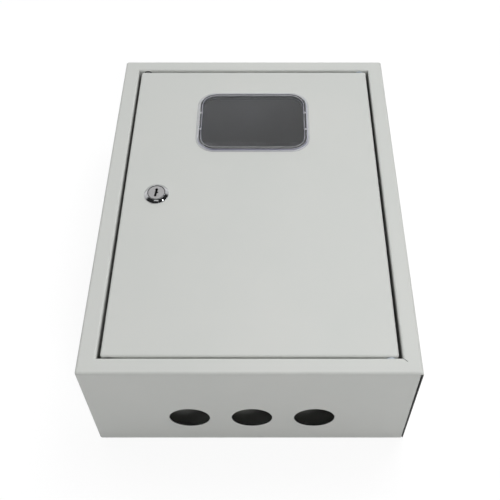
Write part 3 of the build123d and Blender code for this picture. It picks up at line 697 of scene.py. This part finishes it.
def settle_piece(name):
    """Name the new piece, put its place into its mesh and start to edit it."""
    piece = bpy.context.object
    piece.name = name
    piece.data.name = name
    bpy.ops.object.transform_apply(location=True, rotation=True, scale=True)
    bpy.ops.object.mode_set(mode="EDIT")
    return piece


def begin_cylinder(name, sides, radius, foot, length):
    """Start a piece as an upright cylinder from a foot. A length below zero runs downwards."""
    begin_piece()
    bpy.ops.mesh.primitive_cylinder_add(
        vertices=sides,
        radius=radius,
        depth=abs(length),
        location=foot + Vector((0, 0, length / 2)),
    )
    return settle_piece(name)


def choose(kind, test):
    """Select the faces or edges that pass a test, in edit mode."""
    bpy.ops.mesh.select_mode(type="FACE" if kind == "faces" else "EDGE")
    bpy.ops.mesh.select_all(action="DESELECT")
    shape = bmesh.from_edit_mesh(bpy.context.object.data)
    shape.normal_update()
    for part in getattr(shape, kind):
        if test(part):
            part.select_set(True)
    bmesh.update_edit_mesh(bpy.context.object.data)


def looks_up(face):
    """Whether a face looks up."""
    return face.normal.z > FACING


def looks_down(face):
    """Whether a face looks down."""
    return face.normal.z < -FACING


def middle(edge):
    """The middle of an edge."""
    return (edge.verts[0].co + edge.verts[1].co) / 2


def push(step):
    """Extrude what is selected by a step."""
    bpy.ops.mesh.extrude_region_move(TRANSFORM_OT_translate={"value": step})


def round_over(width, height, steps):
    """Inset the selected face along a quarter round that starts upright and ends level."""
    turn = math.pi / 2 / steps
    for step in range(steps):
        near, far = step * turn, (step + 1) * turn
        bpy.ops.mesh.inset(
            thickness=width * (math.cos(near) - math.cos(far)),
            depth=height * (math.sin(far) - math.sin(near)),
        )


def cut_across(place, direction):
    """Cut the selected faces along a plane."""
    bpy.ops.mesh.bisect(plane_co=place, plane_no=direction)


def thread_turns(length, plain, tip):
    """How many whole turns fit between a plain foot and a tip, and how long that leaves the foot."""
    turns = int((length - plain - tip) / THREAD_PITCH)
    return turns, length - tip - turns * THREAD_PITCH


def widen(axis, scale):
    """Scale what is selected about an upright axis. A scale below one narrows it."""
    bpy.ops.transform.resize(value=(scale, scale, 1.0), center_override=axis)


def cut_thread(axis, direction, radius, turns):
    """Extrude the selected round end along the axis in thread ridges."""
    root = (radius - THREAD_DEPTH) / radius
    for _ in range(turns):
        for scale in (root, 1.0 / root):
            push((0, 0, direction * THREAD_PITCH / 2))
            widen(axis, scale)


def delete_caps(place):
    """Open the two faces that lie on each other where a hole runs through, and join their edges."""
    choose("faces", lambda face: (face.calc_center_median() - place).length < NEAR)
    bpy.ops.mesh.delete(type="FACE")
    bpy.ops.mesh.select_all(action="SELECT")
    bpy.ops.mesh.remove_doubles(threshold=SAME_POINT)


def finish_piece(piece, materials, angle=SMOOTH_ANGLE):
    """Leave edit mode, give the piece its finishes and smooth its rounded faces."""
    bpy.ops.mesh.select_all(action="SELECT")
    bpy.ops.mesh.normals_make_consistent(inside=False)
    bpy.ops.object.mode_set(mode="OBJECT")
    for material in materials:
        piece.data.materials.append(material)
    bpy.ops.object.shade_smooth_by_angle(angle=math.radians(angle))


def select_pieces(pieces):
    """Select these pieces alone, with the first one active."""
    begin_piece()
    for piece in pieces:
        piece.select_set(True)
    bpy.context.view_layer.objects.active = pieces[0]


def join_pieces(pieces):
    """Make several pieces one, under the first one's name."""
    select_pieces(pieces)
    bpy.ops.object.join()
    return pieces[0]


def copy_piece(piece, step):
    """A copy of a piece with its own mesh, moved by a step."""
    select_pieces([piece])
    bpy.ops.object.duplicate(linked=False)
    bpy.ops.transform.translate(value=step)
    bpy.ops.object.transform_apply(location=True, rotation=True, scale=True)
    return bpy.context.object


# Window
def on_skirt(face):
    """Whether a face is on a side wall of the skirt."""
    place = face.calc_center_median()
    at_wall = abs(face.normal.x) > FACING and abs(abs(place.x) - SKIRT_X) < NEAR
    return at_wall and place.z < DOOR_FRONT


def over_flat(place):
    """Whether a place is over the rim's flat at the left or right."""
    return FLAT_INNER < abs(place.x) < FLAT_OUTER


def on_flat(face):
    """Whether a face is on the rim's flat at the left or right."""
    place = face.calc_center_median()
    return looks_up(face) and over_flat(place) and abs(place.z - WINDOW_HIGH.z) < NEAR


def beside_hook(place, width):
    """Whether a place is within the width of a hook or pocket."""
    return any(abs(place.y - y) < width / 2 for y in HOOK_Y)


def cut_beside_hooks(test, width):
    """Cut the faces that pass a test along both sides of each hook or pocket."""
    for y in HOOK_Y:
        for side in (-1, 1):
            choose("faces", test)
            cut_across((0, y + side * width / 2, 0), (0, 1, 0))


def shape_rim():
    """Round the plate's corners, then raise its flange and rim and sink its pane."""
    choose("edges", lambda edge: abs(edge.verts[0].co.z - edge.verts[1].co.z) > FLANGE_EDGE / 2)
    bpy.ops.mesh.bevel(offset=WINDOW_CORNER, segments=WINDOW_CORNER_STEPS, affect="EDGES")
    choose("faces", looks_up)
    bpy.ops.mesh.inset(thickness=FLANGE_WIDTH, depth=FLANGE_RISE)
    round_over(RIM_ROUND, WINDOW_HIGH.z - RIM_BACK - FLANGE_EDGE - FLANGE_RISE, RIM_ROUND_STEPS)
    bpy.ops.mesh.inset(thickness=RIM_FLAT)
    bpy.ops.mesh.inset(thickness=RIM_LINE, depth=-RIM_LINE_FALL)
    bpy.ops.mesh.inset(thickness=PANE_STEP, depth=-PANE_STEP_FALL)


def shape_skirt():
    """Draw a hollow skirt out of the rim's back."""
    choose("faces", looks_down)
    bpy.ops.mesh.inset(thickness=SKIRT_INSET)
    push((0, 0, WINDOW_LOW.z - RIM_BACK))
    bpy.ops.mesh.inset(thickness=SKIRT_WALL)
    push((0, 0, DOOR_FRONT - WINDOW_LOW.z))


def on_hook(face, side):
    """Whether a face of the skirt, on one side, is where a hook starts."""
    place = face.calc_center_median()
    beside = beside_hook(place, HOOK_WIDTH) and place.z < DOOR_FRONT - HOOK_TOP
    return beside and on_skirt(face) and face.normal.x * side > 0


def on_nose(edge, side):
    """Whether an edge is the lower end of a hook that has been pushed out."""
    place = middle(edge)
    return abs(place.x * side - SKIRT_X - HOOK_REACH) < NEAR and abs(place.z - WINDOW_LOW.z) < NEAR


def shape_hooks():
    """Push two hooks out of each side of the skirt, and slope them to their noses."""
    choose("faces", on_skirt)
    cut_across((0, 0, DOOR_FRONT - HOOK_TOP), (0, 0, 1))
    cut_beside_hooks(on_skirt, HOOK_WIDTH)
    for side in (-1, 1):
        choose("faces", lambda face: on_hook(face, side))
        push((side * HOOK_REACH, 0, 0))
        choose("edges", lambda edge: on_nose(edge, side))
        bpy.ops.transform.translate(value=(side * (HOOK_NOSE - HOOK_REACH), 0, 0))


def sink_pockets():
    """Sink a pocket in the rim's flat over each hook."""
    cut_beside_hooks(on_flat, POCKET_LENGTH)
    choose("faces", lambda face: on_flat(face) and beside_hook(face.calc_center_median(), POCKET_LENGTH))
    bpy.ops.mesh.inset(thickness=POCKET_MARGIN)
    push((0, 0, -POCKET_DEPTH))


def mark_milky_edges(piece):
    """Give the rim's sloping edges and the pockets the second finish, the one with painted light."""
    shape = bmesh.from_edit_mesh(piece.data)
    shape.normal_update()
    for face in shape.faces:
        place = face.calc_center_median()
        outward = face.normal.xy.dot((place - WINDOW_CENTRE).xy) > 0
        least, most = OUTER_EDGE_TILT if outward else INNER_EDGE_TILT
        pocket = beside_hook(place, POCKET_LENGTH) and over_flat(place)
        if place.z > RIM_BACK and (pocket or least < face.normal.z < most):
            face.material_index = 1
    bmesh.update_edit_mesh(piece.data)


def model_window():
    """A raised rim round a sunk pane, with a skirt through the door and two snap hooks on each side."""
    begin_piece()
    bpy.ops.mesh.primitive_cube_add(
        size=1.0,
        location=(WINDOW_CENTRE.x, WINDOW_CENTRE.y, RIM_BACK + FLANGE_EDGE / 2),
    )
    bpy.context.object.scale = (2 * WINDOW_HALF.x, 2 * WINDOW_HALF.y, FLANGE_EDGE)
    piece = settle_piece("window")
    shape_rim()
    shape_skirt()
    shape_hooks()
    sink_pockets()
    mark_milky_edges(piece)
    finish_piece(piece, (FINISHES["clear_plastic"], frosted_edge()))
    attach(piece, "door")
    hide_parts("window_pane")


# Lock barrel
def model_bezel():
    """A rounded chrome bezel round a sunk seat for the face."""
    outer = (BARREL_HIGH.x - BARREL_LOW.x) / 2
    height = BARREL_HIGH.z - DOOR_FRONT
    piece = begin_cylinder("lock_barrel_visual", LOCK_SIDES, outer, LOCK_SEAT, BEZEL_EDGE)
    choose("faces", looks_up)
    round_over(BEZEL_EASE, BEZEL_EASE, BEZEL_EASE_STEPS)

    # A slope that bulges most in its middle
    slope = outer - BEZEL_EASE - BEZEL_RIM - FACE_RECESS_R
    rise = height - BEZEL_EDGE - BEZEL_EASE
    level = 0.0
    for step in range(1, BEZEL_SLOPE_STEPS + 1):
        share = step / BEZEL_SLOPE_STEPS
        next_level = rise * share + BEZEL_BULGE * 4 * share * (1 - share)
        bpy.ops.mesh.inset(thickness=slope / BEZEL_SLOPE_STEPS, depth=next_level - level)
        level = next_level

    # The recess for the face, and the hole through its floor
    bpy.ops.mesh.inset(thickness=BEZEL_RIM)
    push((0, 0, -FACE_RECESS_DEPTH))
    bpy.ops.mesh.inset(thickness=FACE_RECESS_R - PLUG_HOLE_R)
    push((0, 0, FACE_RECESS_DEPTH - height))
    choose("faces", looks_down)
    bpy.ops.mesh.inset(thickness=outer - PLUG_HOLE_R)
    delete_caps(LOCK_SEAT)
    finish_piece(piece, (FINISHES["chrome"],), angle=BEZEL_SMOOTH_ANGLE)
    return piece


def model_barrel():
    """A threaded tube with two flats, behind the bezel."""
    turns, foot = thread_turns(DOOR_FRONT - BARREL_LOW.z, SHEET, BARREL_TIP)
    piece = begin_cylinder("lock_barrel_tube", LOCK_SIDES, BARREL_R, LOCK_SEAT, -foot)
    choose("faces", looks_down)
    cut_thread(LOCK_SEAT, -1, BARREL_R, turns)
    push((0, 0, -BARREL_TIP))
    tip = (BARREL_R - THREAD_DEPTH) / BARREL_R
    widen(LOCK_SEAT, tip)

    # The hole from both ends. An inset is measured on the flats of the many-sided end
    flatness = math.cos(math.pi / LOCK_SIDES)
    bpy.ops.mesh.inset(thickness=BARREL_R - PLUG_HOLE_R - (1 - tip) * BARREL_R * flatness)
    choose("faces", lambda face: looks_up(face) and face.calc_center_median().z > DOOR_FRONT - NEAR)
    bpy.ops.mesh.inset(thickness=BARREL_R - PLUG_HOLE_R)
    push((0, 0, BARREL_LOW.z - DOOR_FRONT))
    delete_caps(Vector((LOCK_SEAT.x, LOCK_SEAT.y, BARREL_LOW.z)))

    for side in (-1, 1):
        bpy.ops.mesh.select_all(action="SELECT")
        bpy.ops.mesh.bisect(
            plane_co=LOCK_SEAT + Vector((side * BARREL_FLAT, 0, 0)),
            plane_no=(side, 0, 0),
            use_fill=True,
            clear_outer=True,
        )
    finish_piece(piece, (FINISHES["chrome"],))
    return piece


def model_lock_barrel():
    """The bezel and the barrel as one piece on the door."""
    piece = join_pieces([model_bezel(), model_barrel()])
    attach(piece, "door")
    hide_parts("lock_barrel")


# Threaded studs
def model_stud(name, foot, direction, length, material):
    """One threaded stud with a tapered tip, from its foot along a direction."""
    turns, plain = thread_turns(length, STUD_FOOT, STUD_TIP)
    piece = begin_cylinder(name, STUD_SIDES, STUD_R, foot, direction * plain)
    choose("faces", looks_up if direction > 0 else looks_down)
    cut_thread(foot, direction, STUD_R, turns)
    push((0, 0, direction * STUD_TIP))
    widen(foot, STUD_TIP_SHARE)
    finish_piece(piece, (material,))
    return piece


def model_plate_studs():
    """The four studs of the mounting plate, one modelled and three copied."""
    low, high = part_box("plate_studs")
    foot = Vector((low.x + STUD_R, low.y + STUD_R, low.z))
    span = high - low
    first = model_stud("plate_studs_visual", foot, 1, span.z, FINISHES["zinc_steel"])
    reach_x, reach_y = span.x - 2 * STUD_R, span.y - 2 * STUD_R
    steps = ((reach_x, 0, 0), (0, reach_y, 0), (reach_x, reach_y, 0))
    piece = join_pieces([first] + [copy_piece(first, step) for step in steps])
    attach(piece, "cabinet")
    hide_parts("plate_studs")


def model_earth_stud(node, body, direction):
    """An earth stud on the cabinet's back or on the door."""
    low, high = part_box(node)
    centre = (low + high) / 2
    foot = Vector((centre.x, centre.y, low.z if direction > 0 else high.z))
    piece = model_stud(f"{node}_visual", foot, direction, high.z - low.z, FINISHES["copper_plate"])
    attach(piece, body)
    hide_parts(node)


model_window()
model_lock_barrel()
model_plate_studs()
model_earth_stud("cabinet_earth_stud", "cabinet", 1)
model_earth_stud("door_earth_stud", "door", -1)


# Studio: pale floor, white surround, soft lamps
def show_instead(tree, lighting, shown, output):
    """Light the object with one shader, and show another to the camera, reflections and clear pieces."""
    path = new_node(tree, "ShaderNodeLightPath").outputs
    rays = [path[f"Is {kind} Ray"] for kind in ("Camera", "Glossy", "Transmission")]
    seen = combine(tree, "MAXIMUM", *rays)
    either = new_node(tree, "ShaderNodeMixShader", {0: seen, 1: lighting.outputs[0], 2: shown.outputs[0]})
    give(tree, tree.nodes[output], {"Surface": either.outputs[0]})


def lay_floor():
    """A white floor that keeps the object's shadow."""
    begin_piece()
    bpy.ops.mesh.primitive_plane_add(size=FLOOR_SIZE, location=(0, 0, -FLOOR_DROP))
    floor = bpy.context.object
    floor.name = "floor"
    material = bpy.data.materials.new("white_floor")
    material.use_nodes = True
    tree = material.node_tree
    tree.nodes.remove(tree.nodes["Principled BSDF"])
    matt = new_node(tree, "ShaderNodeBsdfDiffuse", {"Color": linear(0.80, 0.80, 0.80)})
    faint = new_node(tree, "ShaderNodeBsdfDiffuse", {"Color": linear(0.16, 0.16, 0.16)})
    glow = new_node(tree, "ShaderNodeEmission", {"Color": linear(1.0, 1.0, 1.0), "Strength": 0.88})
    white = new_node(tree, "ShaderNodeAddShader", {0: faint.outputs[0], 1: glow.outputs[0]})
    show_instead(tree, matt, white, "Material Output")
    floor.data.materials.append(material)


def light_surround():
    """A soft grey surround that looks white, with its darker end behind the camera."""
    world = bpy.data.worlds.new("studio")
    scene.world = world
    world.use_nodes = True
    tree = world.node_tree
    way = parts_of(tree, new_node(tree, "ShaderNodeTexCoord").outputs["Generated"])
    soft = tree.nodes["Background"]
    soft_strength = between(tree, way["Y"], 0.04, 1.1, start=-0.15, end=0.75)
    give(tree, soft, {"Color": linear(0.97, 0.985, 1.0), "Strength": soft_strength})

    # The camera sees plain white, and reflections of what is above the floor a room, darker near the camera
    away = maths(tree, "MULTIPLY_ADD", way["X"], ROOM_TURN, way["Y"])
    room = between(tree, away, 0.03, 0.75, start=0.18, end=0.42)
    upper = between(tree, way["Z"], 0.0, 1.0, start=0.12, end=0.30)
    path = new_node(tree, "ShaderNodeLightPath").outputs
    shown_room = maths(tree, "SUBTRACT", upper, path["Is Camera Ray"], clamp=True)
    strength = between(tree, shown_room, 1.0, room)
    white = new_node(tree, "ShaderNodeBackground", {"Color": linear(1.0, 1.0, 1.0), "Strength": strength})
    show_instead(tree, soft, white, "World Output")


def hang_lamp(name, place, aim, size, power):
    """A flat soft lamp of a width and height at a place, turned to aim at a point."""
    lamp = bpy.data.lights.new(name, "AREA")
    lamp.shape = "RECTANGLE"
    lamp.size, lamp.size_y = size
    lamp.energy = power
    holder = bpy.data.objects.new(name, lamp)
    scene.collection.objects.link(holder)
    holder.location = place
    holder.rotation_euler = (Vector(aim) - Vector(place)).to_track_quat("-Z", "Y").to_euler()
    holder.visible_camera = False


def set_camera():
    """The camera at the photograph's angle."""
    lens = bpy.data.cameras.new("camera")
    lens.lens = CAMERA_LENS
    lens.sensor_width = CAMERA_SENSOR
    lens.shift_x, lens.shift_y = CAMERA_SHIFT
    lens.clip_start = 0.01
    lens.clip_end = 100.0
    camera = bpy.data.objects.new("camera", lens)
    scene.collection.objects.link(camera)
    camera.location = CAMERA_PLACE
    camera.rotation_euler = (CAMERA_TILT, 0.0, 0.0)
    scene.camera = camera


lay_floor()
light_surround()
hang_lamp("key", place=(0.34, 0.45, 1.5), aim=(0.0, 0.0, 0.1), size=(0.8, 0.8), power=9.3)
hang_lamp("front_fill", place=(0.6, -1.9, 1.65), aim=(0.0, -0.2, 0.07), size=(0.8, 0.8), power=22.0)
hang_lamp("glint", place=(1.39, -0.70, 2.02), aim=(-0.1, 0.0, 0.14), size=(0.2, 0.2), power=1.2)
hang_lamp("strip", place=(-0.184, -0.75, 1.42), aim=(-0.184, 0.0, 0.14), size=(0.75, 0.11), power=0.22)
set_camera()

bpy.context.view_layer.update()
